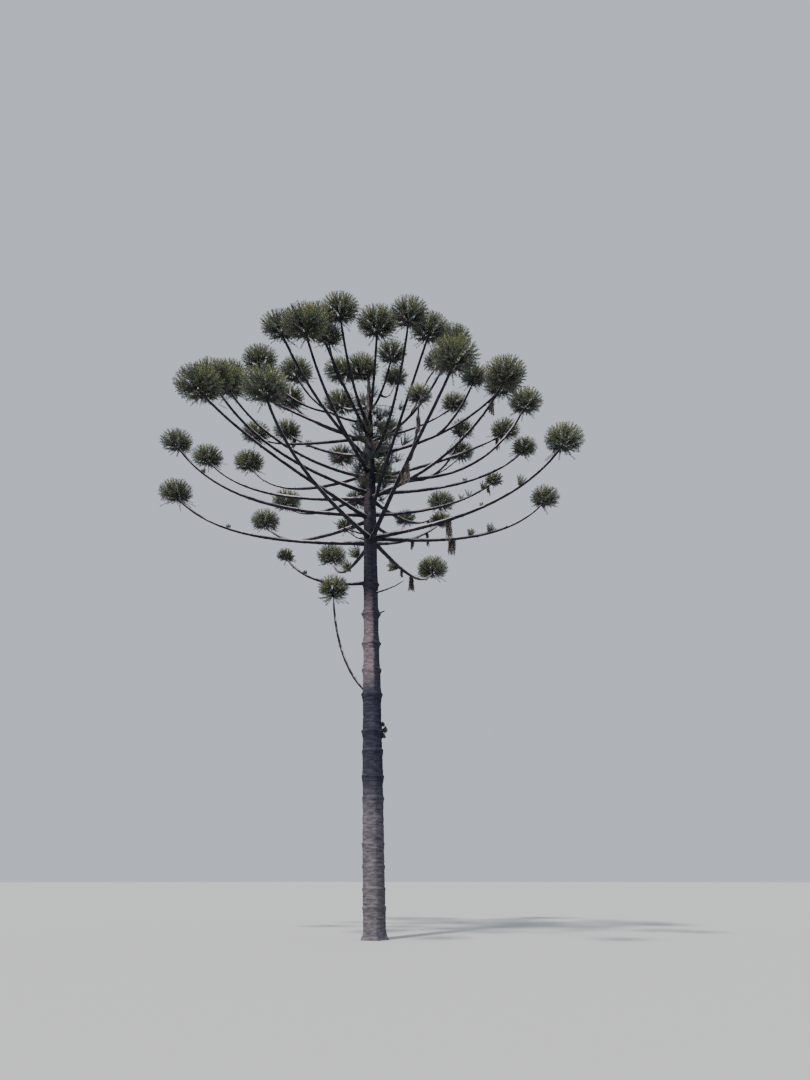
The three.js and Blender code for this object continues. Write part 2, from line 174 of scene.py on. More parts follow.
def unit(vectors):
    return vectors / np.maximum(np.linalg.norm(vectors, axis=-1, keepdims=True), LEAST_LENGTH)


def polar(bearing, reach, z):
    angle = math.radians(bearing)
    return np.array((reach * math.cos(angle), reach * math.sin(angle), z))


def on_trunk_axis(height):
    return np.array((TRUNK_LEAN * height, 0.0, height))


def bezier(path, shares):
    t = np.asarray(shares, float)[..., None]
    a, b, c, d = path
    return a * (1 - t) ** 3 + 3 * b * t * (1 - t) ** 2 + 3 * c * t ** 2 * (1 - t) + d * t ** 3


def bezier_tangent(path, shares):
    t = np.asarray(shares, float)[..., None]
    a, b, c, d = path
    return unit((b - a) * (1 - t) ** 2 + 2 * (c - b) * t * (1 - t) + (d - c) * t ** 2)


def path_length(path):
    points = bezier(path, np.linspace(0, 1, LENGTH_STEPS))
    return float(np.linalg.norm(np.diff(points, axis=0), axis=1).sum())


def cross_directions(along):
    """Two directions across each of these, of which the first is level."""
    side = np.stack((-along[..., 1], along[..., 0], np.zeros_like(along[..., 0])), -1)
    upright = np.linalg.norm(side, axis=-1, keepdims=True) < UPRIGHT_BELOW
    side = unit(np.where(upright, (1.0, 0, 0), side))
    return side, unit(np.cross(side, along))


def around(axis, angle):
    """The direction across an axis at an angle round it."""
    side, up = cross_directions(axis)
    return math.cos(angle) * side + math.sin(angle) * up


NOISE_SEED = 7
NOISE_SIZE = 8192
NOISE_TABLE = np.random.default_rng(NOISE_SEED).uniform(-1, 1, NOISE_SIZE)
NOISE_PRIMES = (73856093, 19349663, 83492791)


def noise(points, scale):
    """Smooth noise from -1 to 1 at these points, with its own scale along each axis."""
    spot = points * np.asarray(scale, float)
    cell = np.floor(spot).astype(np.int64)
    part = spot - cell
    part = part * part * (3 - 2 * part)
    total = np.zeros(points.shape[:-1])
    for corner in np.ndindex(2, 2, 2):
        hashed = (cell + corner) * NOISE_PRIMES
        key = hashed[..., 0] ^ hashed[..., 1] ^ hashed[..., 2]
        weight = np.where(corner, part, 1 - part).prod(-1)
        total += weight * NOISE_TABLE[key % NOISE_SIZE]
    return total


# Meshes from arrays

class Parts:
    """Points and triangles gathered into one mesh."""

    def __init__(self):
        self.points = []
        self.faces = []
        self.count = 0

    def add(self, points, faces):
        points = np.asarray(points, float).reshape(-1, 3)
        self.faces.append(np.asarray(faces, np.int64).reshape(-1, 3) + self.count)
        self.points.append(points)
        self.count += len(points)

    def triangles(self):
        return sum(len(faces) for faces in self.faces)

    def piece(self, name, material, slot, nodes, smooth):
        """The mesh as an object that moves with the tree and stands for these nodes."""
        points = np.concatenate(self.points).astype(np.float32)
        faces = np.concatenate(self.faces).astype(np.int32)
        mesh = bpy.data.meshes.new(name)
        mesh.vertices.add(len(points))
        mesh.vertices.foreach_set("co", points.ravel())
        mesh.loops.add(faces.size)
        mesh.loops.foreach_set("vertex_index", faces.ravel())
        mesh.polygons.add(len(faces))
        mesh.polygons.foreach_set("loop_start", np.arange(0, faces.size, 3, dtype=np.int32))
        mesh.polygons.foreach_set("use_smooth", np.full(len(faces), smooth))
        mesh.update(calc_edges=True)
        mesh.materials.append(material)
        made = bpy.data.objects.new(name, mesh)
        bpy.context.scene.collection.objects.link(made)
        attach(made, "root")
        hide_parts(*nodes)


def grid_faces(rows, columns):
    """Triangles of a grid whose columns close on themselves."""
    row = np.arange(rows - 1)[:, None]
    column = np.arange(columns)[None, :]
    a = row * columns + column
    b = row * columns + (column + 1) % columns
    return np.stack((a, b, b + columns, a, b + columns, a + columns), -1).reshape(-1, 3)


def rings_of(points, along, radii, sides):
    """Rings round a line, whose radii are one for each ring or for each of its points."""
    side, up = cross_directions(along)
    angle = np.linspace(0, 2 * math.pi, sides, endpoint=False)[None, :, None]
    radii = np.asarray(radii, float)
    radii = radii[:, None, None] if radii.ndim == 1 else radii[..., None]
    return points[:, None] + radii * (np.cos(angle) * side[:, None] - np.sin(angle) * up[:, None])


def tube(parts, points, along, radii, sides):
    """A closed tube of rings."""
    rings = rings_of(points, along, radii, sides)
    ends = np.stack((rings[0].mean(0), rings[-1].mean(0)))
    ring = np.arange(sides)
    after = (ring + 1) % sides
    last = (len(points) - 1) * sides
    end = np.full(sides, last + sides)
    foot = np.stack((end, after, ring), -1)
    head = np.stack((end + 1, last + ring, last + after), -1)
    faces = np.concatenate((grid_faces(len(points), sides), foot, head))
    parts.add(np.concatenate((rings.reshape(-1, 3), ends)), faces)


# Layout of limbs and domes, by the solids' rules

def sweeping_path(start, end, arch=0.0):
    """Level from the trunk, sagging a little, and turning up: the sooner the steeper it rises."""
    flat = np.array((end[0] - start[0], end[1] - start[1], 0.0))
    rise = end[2] - start[2]
    slope = rise / np.linalg.norm(flat)
    steep = min(max(slope - 1, 0), 1)
    turn_rise = min(max(TURN_RISE_FOR_SLOPE * (slope - TURN_SLOPE), TURN_RISES[0]), TURN_RISES[1])
    first = start + flat * LEVEL_SHARE
    first[2] += (STEEP_LEVEL_RISE * steep + arch) * rise - SAG
    second = start + flat * (TURN_SHARE + (STEEP_TURN_SHARE - TURN_SHARE) * steep)
    second[2] += (turn_rise + arch) * rise
    return np.stack((start, first, second, end))


def new_dome(middle, size, reach=0, arch=0):
    return {"middle": middle, "radius": DOME_RADIUS * size, "reach": reach, "arch": arch}


def heart_of(dome):
    return dome["middle"] - (0, 0, HEART_DROP * dome["radius"])


def stem_into(dome, start, base):
    """A stem into a dome. Its twigs part from it a little short of its end at the heart."""
    path = sweeping_path(start, heart_of(dome), dome["arch"])
    dome["parting"] = path[3] - PARTING * dome["radius"] * unit(path[3] - path[2])
    return {"path": path, "base": base}


def lay_out_limb(height, rise, limb, place):
    """A limb's domes and stems: its first stem leaves the trunk, and a second one its fork."""
    forks = limb if isinstance(limb[0], tuple) else (limb,)
    domes = []
    for fork in forks:
        bearing, reach, size, arch, lift = (*fork, 0, 0)[:5]
        middle = on_trunk_axis(height) + polar(bearing, reach, rise + lift)
        domes.append(new_dome(middle, size, reach, arch))
    stagger = -WHORL_STAGGER if place % 2 else WHORL_STAGGER
    base = LIMB_BASE_RADIUS + LIMB_RADIUS_FOR_REACH * domes[0]["reach"]
    stems = [stem_into(domes[0], on_trunk_axis(height + stagger), base)]
    for dome in domes[1:]:
        stems.append(stem_into(dome, bezier(stems[0]["path"], FORK_AT), ARM_THICKNESS * base))
    return {"domes": domes, "stems": stems}


def lay_out_leader():
    """The pair of domes above the trunk's tip."""
    start = on_trunk_axis(TRUNK_TIP)
    domes = [new_dome(start + (aside, 0, rise), size) for aside, rise, size in LEADER_DOMES]
    domes[0]["parting"] = start + (domes[0]["middle"] - start) * (1, 1, LEADER_PARTING_SHARE)
    end = heart_of(domes[0])
    corner = np.array((start[0], start[1], end[2]))
    path = np.stack((start, (start + 2 * corner) / 3, (end + 2 * corner) / 3, end))
    stems = [{"path": path, "base": LIMB_TIP_RADIUS}]
    stems.append(stem_into(domes[1], bezier(path, FORK_AT), LIMB_TIP_RADIUS))
    return {"domes": domes, "stems": stems}


PLANTS = [
    lay_out_limb(height, rise, limb, place)
    for height, rise, limbs in WHORLS
    for place, limb in enumerate(limbs)
]
PLANTS.append(lay_out_leader())
for number, plant in enumerate(PLANTS, 1):
    plant["label"] = f"{number:02d}"
BOUGH_NODES = [
    "bough_" + plant["label"] for plant in PLANTS
    if len(plant["domes"]) == 1 and plant["domes"][0]["reach"] >= BOUGH_REACH
]
FOLIAGE_NODES = ["foliage_" + plant["label"] for plant in PLANTS]
DOMES = [dome for plant in PLANTS for dome in plant["domes"]]


def limb_radius(limb, shares):
    return LIMB_TIP_RADIUS + (limb["base"] - LIMB_TIP_RADIUS) * (1 - shares) ** TAPER_POWER


# Bark with its relief

# The bark's uneven surface: waves as (height, noise scale, noise offset), and creases along the
# lines where the noise is nought, as (depth, noise scale, noise offset, sharpness).
BARK_WAVES = ((0.006, (2.5, 2.5, 1.3), 0), (0.003, (1.4, 1.4, 20), 0), (0.002, (26, 26, 26), 9))
BARK_CREASES = ((0.013, (1.1, 1.1, 5), 0, 14), (0.006, (1.6, 1.6, 17), 40, 7))

# Each scar's ring and the groove above it: size, size for a scar's swell, and spread.
RING = (0.008, 0.05, 0.035)
GROOVE = (0.010, 0.04, 0.03)
GROOVE_ABOVE_RING = 0.07
RING_WANDER = 0.03
RING_WANDER_SCALE = (1.8, 1.8, 0.5)

# Knots where boughs were lost: how many at a scar, how unevenly round it, how far off it, how wide
# and high, and the hollow in each.
KNOTS_AT_SCAR = (5, 8)
KNOT_UNEVENNESS = 0.25
KNOT_OFF_SCAR = 0.035
KNOT_SIZES = (0.045, 0.075)
KNOT_HEIGHT = 0.012
KNOT_HOLLOW_DEPTH = 1.3
KNOT_HOLLOW_SHARE = 0.45

# The relief is less where the trunk is slimmer than this, down to a least share.
FULL_RELIEF_RADIUS = 0.25
LEAST_RELIEF = 0.25

# The root flare's lobes.
FLARE_LOBES = 5
FLARE_DEPTH = 0.035
FLARE_FADE = 0.22
FLARE_TURN = 0.7


def trunk_radius(heights):
    table = np.array(TRUNK_DIAMETERS, float)
    radius = np.interp(heights, table[:, 0], table[:, 1]) / 2
    for scar, swell in SCARS:
        radius = radius * (1 + swell * np.exp(-((heights - scar) / SCAR_SPREAD) ** 2))
    return radius


def knots_on_trunk(rng):
    """Round scars of lost boughs: angle, height, and size of each."""
    found = []
    for scar, _ in SCARS:
        turn = rng.uniform(0, 2 * math.pi)
        count = int(rng.integers(*KNOTS_AT_SCAR))
        for k in range(count):
            place = k + rng.uniform(-KNOT_UNEVENNESS, KNOT_UNEVENNESS)
            height = scar + rng.uniform(-KNOT_OFF_SCAR, KNOT_OFF_SCAR)
            found.append((turn + 2 * math.pi * place / count, height, rng.uniform(*KNOT_SIZES)))
    return found


TRUNK_ROWS = 950
TRUNK_COLUMNS = 60
TRUNK_SEED = 11

# Painted light and shade on the trunk's bark, for the sun on one side and the crown's shadow in
# bands: height, and what its colour is multiplied by there on the side painted as sunlit, and on
# all other sides, painted as shaded.
# The bearing that the painted sunlit side faces.
SUNLIT_SIDE_BEARING = 236
TRUNK_PAINTED_LIGHT_AND_SHADE = (
    (0, (1.08, 1.05, 1.05), (0.72, 0.72, 0.78)), (3.2, (1.05, 1.02, 1.04), (0.66, 0.68, 0.76)),
    (4.3, (0.30, 0.34, 0.44), (0.22, 0.26, 0.36)), (6.9, (0.27, 0.31, 0.42), (0.20, 0.24, 0.34)),
    (7.5, (1.35, 1.18, 1.22), (0.30, 0.33, 0.42)), (9.8, (1.25, 1.08, 1.12), (0.30, 0.33, 0.42)),
    (10.3, (0.30, 0.33, 0.41), (0.22, 0.25, 0.34)), (12.4, (0.36, 0.38, 0.45), (0.22, 0.25, 0.34)),
    (14.0, (1.25, 1.0, 0.92), (0.22, 0.25, 0.34)),
)


def trunk_relief(surface, smooth_radius, heights, angles):
    """How far the bark stands out from the smooth trunk at each row and column."""
    relief = np.zeros(surface.shape[:-1])
    for size, scale, offset in BARK_WAVES:
        relief += size * noise(surface + offset, scale)
    for depth, scale, offset, sharpness in BARK_CREASES:
        relief -= depth * (1 - np.abs(noise(surface + offset, scale))) ** sharpness
    ring, ring_for_swell, ring_spread = RING
    groove, groove_for_swell, groove_spread = GROOVE
    for scar, swell in SCARS:
        wander = RING_WANDER * noise(surface + scar, RING_WANDER_SCALE)
        above = heights[:, None] - scar - wander
        relief += (ring + ring_for_swell * swell) * np.exp(-(above / ring_spread) ** 2)
        above_groove = (above - GROOVE_ABOVE_RING) / groove_spread
        relief -= (groove + groove_for_swell * swell) * np.exp(-above_groove ** 2)
    for angle, height, size in knots_on_trunk(np.random.default_rng(TRUNK_SEED)):
        turned = (angles - angle + math.pi) % (2 * math.pi) - math.pi
        aside = turned[None] * smooth_radius
        apart = np.sqrt(aside ** 2 + (heights[:, None] - height) ** 2) / size
        hollow = KNOT_HOLLOW_DEPTH * np.exp(-(apart / KNOT_HOLLOW_SHARE) ** 2)
        relief += KNOT_HEIGHT * (np.exp(-apart ** 4) - hollow)
    return relief * np.clip(smooth_radius / FULL_RELIEF_RADIUS, LEAST_RELIEF, 1)


def make_trunk():
    parts = Parts()
    heights = np.linspace(0, TRUNK_TIP, TRUNK_ROWS)
    angles = np.linspace(0, 2 * math.pi, TRUNK_COLUMNS, endpoint=False)
    smooth_radius = trunk_radius(heights)[:, None]
    upwards = np.tile((0.0, 0, 1), (TRUNK_ROWS, 1))
    surface = rings_of(heights[:, None] * upwards, upwards, smooth_radius, TRUNK_COLUMNS)
    flare = FLARE_DEPTH * np.exp(-heights / FLARE_FADE)[:, None]
    flare = flare * np.cos(FLARE_LOBES * angles + FLARE_TURN)[None]
    radius = smooth_radius + trunk_relief(surface, smooth_radius, heights, angles) + flare
    radius[-1] = smooth_radius[-1]
    axis = np.stack([on_trunk_axis(height) for height in heights])
    tube(parts, axis, upwards, radius, TRUNK_COLUMNS)
    parts.piece("trunk_bark_mesh", bark_material(), "trunk_bark", ["trunk"], True)


# Bumps on limbs: share of the whole, noise scale, and noise offset.
LIMB_BUMPS = ((0.6, 14, 0), (0.4, 38, 5))
LIMB_SIDES = 10


def rough_tube(parts, points, along, radii, amount):
    """A limb's tube with wrinkles and bumps."""
    rings = rings_of(points, along, radii, LIMB_SIDES)
    rough = sum(part * noise(rings + offset, scale) for part, scale, offset in LIMB_BUMPS)
    tube(parts, points, along, radii[:, None] * (1 + amount * rough), LIMB_SIDES)


STUB_RINGS = 26
STUB_RISES = (0, 0, 0.07, 0.22)
STUB_CROOKEDNESS = 0.004
STUB_TAPER = 0.55
STUB_ROUGHNESS = 0.16


def add_stub(parts, stub, rng):
    """A dead, crooked stub that leaves the trunk level and turns up a little."""
    height, bearing, length, radius = stub
    start = on_trunk_axis(height)
    path = np.stack([
        start + polar(bearing, length * k / 3, length * rise) for k, rise in enumerate(STUB_RISES)
    ])
    shares = np.linspace(0, 1, STUB_RINGS)
    points = bezier(path, shares)
    points[2:-1] += rng.normal(0, STUB_CROOKEDNESS, (STUB_RINGS - 3, 3))
    radii = radius * (1 - STUB_TAPER * shares)
    rough_tube(parts, points, bezier_tangent(path, shares), radii, STUB_ROUGHNESS)


LIMB_RING_STEP = 0.055
LEAST_LIMB_RINGS = 6
LIMB_ROUGHNESS = 0.12
LIMB_SEED = 23

# A limb slims inside its dome from this far before its end, down to a share of its thickness, and
# swells where it leaves the bark.
SLIM_BEFORE_END = 0.5
SLIM_SHARE = 0.45
FOOT_SWELL = 0.3
FOOT_SWELL_FADE = 0.12

# Knobs where branchlets were lost: the steps between them, how many at most, spread and swell.
KNOB_STEPS = (0.28, 0.5)
MOST_KNOBS = 40
KNOB_SPREAD = 0.03
KNOB_SWELL = 0.1

# Broken-off pegs at some knobs: where along the limb, what share of knobs has none, length, lean
# along the limb, radii at foot, middle and end, and sides.
PEGS_FROM = 0.45
PEGS_UP_TO_SHARE = 0.93
KNOBS_WITHOUT_PEG = 0.35
PEG_LENGTHS = (0.03, 0.075)
PEG_LEAN = 0.5
PEG_SUNK_SHARE = 0.7
PEG_RADII = (0.017, 0.013, 0.008)
PEG_SIDES = 6


def add_limb(parts, limb, rng):
    """One limb from the trunk, or from its fork, into its dome, with wrinkles, knobs and pegs."""
    path = limb["path"]
    length = path_length(path)
    shares = np.linspace(0, 1, max(LEAST_LIMB_RINGS, int(length / LIMB_RING_STEP)))
    radii = limb_radius(limb, shares)
    before_end = np.clip((1 - shares) * length / SLIM_BEFORE_END, 0, 1)
    radii = radii * (SLIM_SHARE + (1 - SLIM_SHARE) * before_end)
    from_bark = np.clip(shares * length - trunk_radius(path[0, 2]), 0, None)
    radii = radii * (1 + FOOT_SWELL * np.exp(-from_bark / FOOT_SWELL_FADE))
    knobs = np.cumsum(rng.uniform(*KNOB_STEPS, MOST_KNOBS))
    from_knobs = (shares[:, None] * length - knobs[None]) / KNOB_SPREAD
    radii = radii * (1 + KNOB_SWELL * np.exp(-from_knobs ** 2).sum(1))
    along = bezier_tangent(path, shares)
    rough_tube(parts, bezier(path, shares), along, radii, LIMB_ROUGHNESS)
    add_pegs(parts, limb, knobs / length, rng)


def add_pegs(parts, limb, shares, rng):
    """Broken-off branchlets: short pegs at some of the limb's knobs."""
    length = path_length(limb["path"])
    for share in shares[shares < PEGS_UP_TO_SHARE]:
        if share * length < PEGS_FROM or rng.random() < KNOBS_WITHOUT_PEG:
            continue
        at = bezier(limb["path"], share)
        along = bezier_tangent(limb["path"], share)
        outward = around(along, rng.uniform(0, 2 * math.pi))
        foot = at + outward * PEG_SUNK_SHARE * limb_radius(limb, share)
        lean = unit(outward + PEG_LEAN * along)
        steps = np.linspace(0, rng.uniform(*PEG_LENGTHS), len(PEG_RADII))[:, None]
        tube(parts, foot + lean * steps, np.tile(lean, (len(PEG_RADII), 1)), PEG_RADII, PEG_SIDES)


def make_limbs():
    """All limbs and the trunk's dead stubs, as one piece of dark bark."""
    parts = Parts()
    rng = np.random.default_rng(LIMB_SEED)
    for plant in PLANTS:
        for stem in plant["stems"]:
            add_limb(parts, stem, rng)
    for stub in STUBS:
        add_stub(parts, stub, rng)
    nodes = BOUGH_NODES + FOLIAGE_NODES
    parts.piece("boughs_bark_mesh", limb_material(), "bough_bark", nodes, True)


# Foliage

ENDS_ON_TRUNK = 61
ENDS_ON_LIMB = 25


def rows_of_limbs():
    """Every limb and the trunk as straight pieces: start, end, radius, and the plant's label."""
    heights = np.linspace(0, TRUNK_TIP, ENDS_ON_TRUNK)
    shares = np.linspace(0, 1, ENDS_ON_LIMB)
    lines = [(np.stack([on_trunk_axis(h) for h in heights]), trunk_radius(heights), "")]
    lines.extend(
        (bezier(stem["path"], shares), limb_radius(stem, shares), plant["label"])
        for plant in PLANTS for stem in plant["stems"]
    )
    rows = [
        (points[:-1], points[1:], np.maximum(radii[:-1], radii[1:]), [owner] * (len(points) - 1))
        for points, radii, owner in lines
    ]
    return [np.concatenate(column) for column in zip(*rows)]


ROW_STARTS, ROW_ENDS, ROW_RADII, ROW_OWNERS = rows_of_limbs()


def distance_to_rows(spots, rows):
    """How far each spot is from the bark of these straight pieces."""
    start, end, radius = ROW_STARTS[rows], ROW_ENDS[rows], ROW_RADII[rows]
    span = end - start
    offset = spots[:, None] - start[None]
    share = np.clip((offset * span).sum(-1) / (span * span).sum(-1), 0, 1)
    away = np.linalg.norm(offset - share[..., None] * span, axis=-1) - radius
    return away.min(1, initial=np.inf)


def room_in_space(spots, dome, others):
    """How far each spot lies inside a dome's own space, up to the planes to its neighbours."""
    room = np.full(len(spots), np.inf)
    own = ((spots - dome["middle"]) ** 2).sum(-1) - dome["radius"] ** 2
    for other in others:
        theirs = ((spots - other["middle"]) ** 2).sum(-1) - other["radius"] ** 2
        gap = np.linalg.norm(other["middle"] - dome["middle"])
        room = np.minimum(room, (theirs - own) / (2 * gap))
    return room


def reach_to_surface(start, direction, dome):
    """How far a dome's surface is from a point inside it, along a direction."""
    scale = 1 / (dome["radius"] * np.array((1, 1, DOME_HEIGHT)))
    offset = (start - dome["middle"]) * scale
    step = direction * scale
    a, b, c = step @ step, 2 * offset @ step, offset @ offset - 1
    return (-b + math.sqrt(max(b * b - 4 * a * c, 0))) / (2 * a)


def way_out(sine, angle):
    """A direction by the sine of its slope and its angle round the upright."""
    flat = math.sqrt(1 - sine * sine)
    return np.array((flat * math.cos(angle), flat * math.sin(angle), sine))


# Main twigs rise from the lower to the higher of these sines, and the branchlets' roots lie from
# this share along them. A sine and a tone stand for the main twigs' own needles.
MAIN_TWIG_SINES = (-0.1, 0.97)
ROOTS_FROM = 0.3
MAIN_TWIG_SINE_AND_TONE = (0.1, 0.2)

# Branchlets' unevenness in sine and angle, the places on one that are kept clear of limbs and of
# other domes, and how near those are looked for.
SINE_SCATTER = 0.05
ANGLE_SCATTER = 0.12
HIGHEST_SINE = 0.999
TESTED_SHARES = np.array((0.4, 0.6, 0.8, 1.0))
DOMES_WITHIN = 4 * DOME_RADIUS
LIMBS_WITHIN = 1.2


def main_twigs_of(dome, turn):
    """Ways and reaches of the twigs that part from the stem, all round by the golden angle."""
    lowest, highest = MAIN_TWIG_SINES
    ways = np.array([
        way_out(lowest + (highest - lowest) * (i + 0.5) / MAIN_TWIGS, turn + i * GOLDEN_ANGLE)
        for i in range(MAIN_TWIGS)
    ])
    reaches = [MAIN_TWIG_SHARE * reach_to_surface(dome["parting"], way, dome) for way in ways]
    return ways, reaches


def straight_path(start, span, shares=(0, 0.33, 0.67, 1)):
    return np.stack([start + span * share for share in shares])


def branchlets_of(dome, plant, random):
    """A dome's branchlets as (path, sine, tone). Their tips lie all over it by the golden angle,
    each grows from the nearest main twig, and one that would leave the dome's space or touch a
    limb is trimmed or left out."""
    others = [
        other for other in DOMES
        if other is not dome and np.linalg.norm(other["middle"] - dome["middle"]) < DOMES_WITHIN
    ]
    near = np.linalg.norm(0.5 * (ROW_STARTS + ROW_ENDS) - dome["middle"], axis=1)
    rows = (near < LIMBS_WITHIN) & (ROW_OWNERS != plant["label"])
    heart = dome["parting"]
    turn = 2 * math.pi * next(random)
    ways, reaches = main_twigs_of(dome, turn)
    found = [
        (straight_path(heart, way * reach), *MAIN_TWIG_SINE_AND_TONE)
        for way, reach in zip(ways, reaches)
    ]
    count = int(BRANCHLETS * (dome["radius"] / DOME_RADIUS) ** 2)
    sines = 1 - LOWEST_SINE
    for i in range(count):
        sine = LOWEST_SINE + sines * (i + 0.5) / count + SINE_SCATTER * (next(random) - 0.5)
        sine = min(sine, HIGHEST_SINE)
        angle = turn + i * GOLDEN_ANGLE + ANGLE_SCATTER * (next(random) - 0.5)
        outward = way_out(sine, angle)
        full = (FULLEST - RAGGED * next(random)) * dome["radius"]
        if i % INNER_EVERY == 0:
            full *= INNER_FULL
        tone = next(random)
        bend = next(random)
        start = ROOTS_FROM + (1 - ROOTS_FROM) * next(random)
        to_surface = dome["middle"] + full * outward * (1, 1, DOME_HEIGHT) - heart
        twig = int((ways @ unit(to_surface)).argmax())
        root = heart + ways[twig] * reaches[twig] * start
        for trim in TRIMS:
            path = branchlet_path(root, heart + to_surface * trim, ways[twig], outward, bend)
            spots = bezier(path, TESTED_SHARES)
            if room_in_space(spots, dome, others).min() < 0:
                continue
            if distance_to_rows(spots, rows).min() < FOLIAGE_GAP + BRANCHLET_RADIUS:
                continue
            found.append((path, sine, tone))
            break
    return found


# How far branchlets turn up at their ends. Those that leave lower than this sine may also droop.
BRANCHLET_LIFT = 0.75
DROOP_BELOW = -0.25
LOW_LIFT = 0.7
LOW_LIFT_MIDDLE = 0.45
BRANCHLET_HANDLES = (0.33, 0.36)


def branchlet_path(root, tip, way, outward, bend):
    """High branchlets turn up towards their tips, and the lowest ones spread and droop a little."""
    length = np.linalg.norm(tip - root)
    lift = BRANCHLET_LIFT * bend
    if outward[2] <= DROOP_BELOW:
        lift = LOW_LIFT * (bend - LOW_LIFT_MIDDLE)
    ends_along = unit(outward + (0, 0, lift))
    first = root + BRANCHLET_HANDLES[0] * length * unit(way + unit(tip - root))
    second = tip - BRANCHLET_HANDLES[1] * length * ends_along
    return np.stack((root, first, second, tip))


# Whiskers: lowest sine and its range, range of angle, least reach and its range as shares of the
# dome's radius, where they bend, how far they droop, what share of them rises instead, and their
# needles: how many on each, length, and how unkempt they are.
WHISKER_SINES = (-0.32, 0.3)
WHISKER_TURN = 0.8
WHISKER_REACH = (0.72, 0.4)
WHISKER_BENDS = (0.35, 0.75)
WHISKER_DROOP = 0.22
WHISKER_RISING = 0.3
WHISKER_NEEDLES = (26, 0.045, 0.3)


def whiskers_of(dome, random):
    """Thin half-dead twigs that leave a dome's heart near level and droop at their ends."""
    heart = dome["parting"]
    lowest, sines = WHISKER_SINES
    least, reaches = WHISKER_REACH
    paths = []
    for i in range(WHISKERS):
        way = way_out(lowest + sines * next(random), i * GOLDEN_ANGLE + WHISKER_TURN * next(random))
        reach = (least + reaches * next(random)) * dome["radius"]
        droop = WHISKER_DROOP * reach * (next(random) - WHISKER_RISING)
        path = straight_path(heart, way * reach, (0, *WHISKER_BENDS, 1))
        path[3, 2] -= droop
        paths.append(path)
    return paths


# Colours of needles. The lightest, yellow green is in part painted sunlight on the domes' tops;
# the darker greens are in part painted shade, and the blue grey one is painted shade, lit blue as
# if by the sky.
TONES = {
    "fresh": (0.270, 0.270, 0.105),
    "olive": (0.160, 0.182, 0.088),
    "deep": (0.092, 0.116, 0.078),
    "dusky": (0.070, 0.088, 0.094),
    "dry": (0.150, 0.122, 0.110),
}


# What a spray's tone has to be for each colour. A spray's sine adds to it for the upper two, as
# painted light: sprays high on a dome are painted lighter as if sunlit, low ones darker as shade.
SINE_AS_PAINTED_LIGHT = 0.62
FRESH_AND_SUNLIT_ABOVE = 0.98
OLIVE_ABOVE = 0.58
DEEP_ABOVE = 0.3
DRY_BELOW = 0.16
DRY_BELOW_SINE = 0.05


def tone_name(sine, tone):
    """A spray's colour: fresher and painted lighter towards the dome's top as if sunlit, darker
    below as painted shade, and drier below.
    """
    # Painted light: the higher a spray sits on its dome, the lighter its colour.
    lit = SINE_AS_PAINTED_LIGHT * sine + tone
    if sine < DRY_BELOW_SINE and tone < DRY_BELOW:
        return "dry"
    if lit > FRESH_AND_SUNLIT_ABOVE:
        return "fresh"
    if lit > OLIVE_ABOVE:
        return "olive"
    return "deep" if tone > DEEP_ABOVE else "dusky"


# Needles begin between these shares along a branchlet, by how long a stretch has them. They stand
# off at an angle in degrees that falls towards the tip, and scatter by these amounts.
NEEDLES_FROM = (0.08, 0.8)
LEAST_NEEDLE_SHARE = 0.05
NEEDLE_SHARE_SCATTER = 0.01
NEEDLE_TURN_SCATTER = 0.3
NEEDLE_ANGLE = 62
NEEDLE_ANGLE_FALL = 38
NEEDLE_ANGLE_SCATTER = 7
SCRUFFY_ANGLE_SCATTER = 20
NEEDLE_SIZES = (0.82, 1.12)

# A needle's outline: where it is widest, how high its edges stand above its midrib, and how far
# out of the twig its root is.
NEEDLE_WIDEST_AT = 0.36
NEEDLE_FOLD = 0.22
NEEDLE_ROOT = 0.6


def add_needles(parts, paths, rng, count, length, scruffy, needled):
    """Needles all round the outer part of these branchlets, each a folded lance of two faces."""
    paths = np.asarray(paths)
    batch = len(paths)
    lengths = np.linalg.norm(paths[:, 3] - paths[:, 0], axis=1)
    first = np.clip(1 - needled / lengths, *NEEDLES_FROM)[:, None]
    share = first + (1 - first) * np.linspace(0, 1, count)[None]
    share = share + NEEDLE_SHARE_SCATTER * rng.uniform(-1, 1, (batch, count))
    share = np.clip(share, LEAST_NEEDLE_SHARE, 1)
    corners = [paths[:, None, k] for k in range(4)]
    base = bezier(corners, share)
    along = bezier_tangent(corners, share)
    side, up = cross_directions(along)
    turn = np.arange(count)[None] * GOLDEN_ANGLE + rng.uniform(0, 2 * math.pi, (batch, 1))
    turn = (turn + NEEDLE_TURN_SCATTER * rng.uniform(-1, 1, (batch, count)))[..., None]
    outward = np.cos(turn) * side + np.sin(turn) * up
    angle = NEEDLE_ANGLE - NEEDLE_ANGLE_FALL * (share - first) / (1 - first)
    scatter = NEEDLE_ANGLE_SCATTER + SCRUFFY_ANGLE_SCATTER * scruffy
    angle = np.radians(angle + rng.normal(0, scatter, (batch, count)))[..., None]
    direction = unit(np.cos(angle) * along + np.sin(angle) * outward)
    size = (length * rng.uniform(*NEEDLE_SIZES, (batch, count)))[..., None]
    across = unit(np.cross(direction, outward)) * (0.5 * NEEDLE_WIDTH)
    off_axis = outward - (outward * direction).sum(-1, keepdims=True) * direction
    rise = unit(off_axis) * (NEEDLE_FOLD * NEEDLE_WIDTH)
    root = base + outward * TWIG_RADIUS * NEEDLE_ROOT
    tip = root + direction * size
    widest = root + direction * size * NEEDLE_WIDEST_AT + rise
    left = widest + across
    right = widest - across
    points = np.stack((root, left, tip, right), 2).reshape(-1, 3)
    corner = np.arange(batch * count)[:, None] * 4
    faces = np.concatenate((corner + (0, 1, 2), corner + (0, 2, 3)))
    parts.add(points, faces)


FOLIAGE_SEED = 31
TWIG_TAPER = 0.7
TWIG_END_SHARE = 0.97


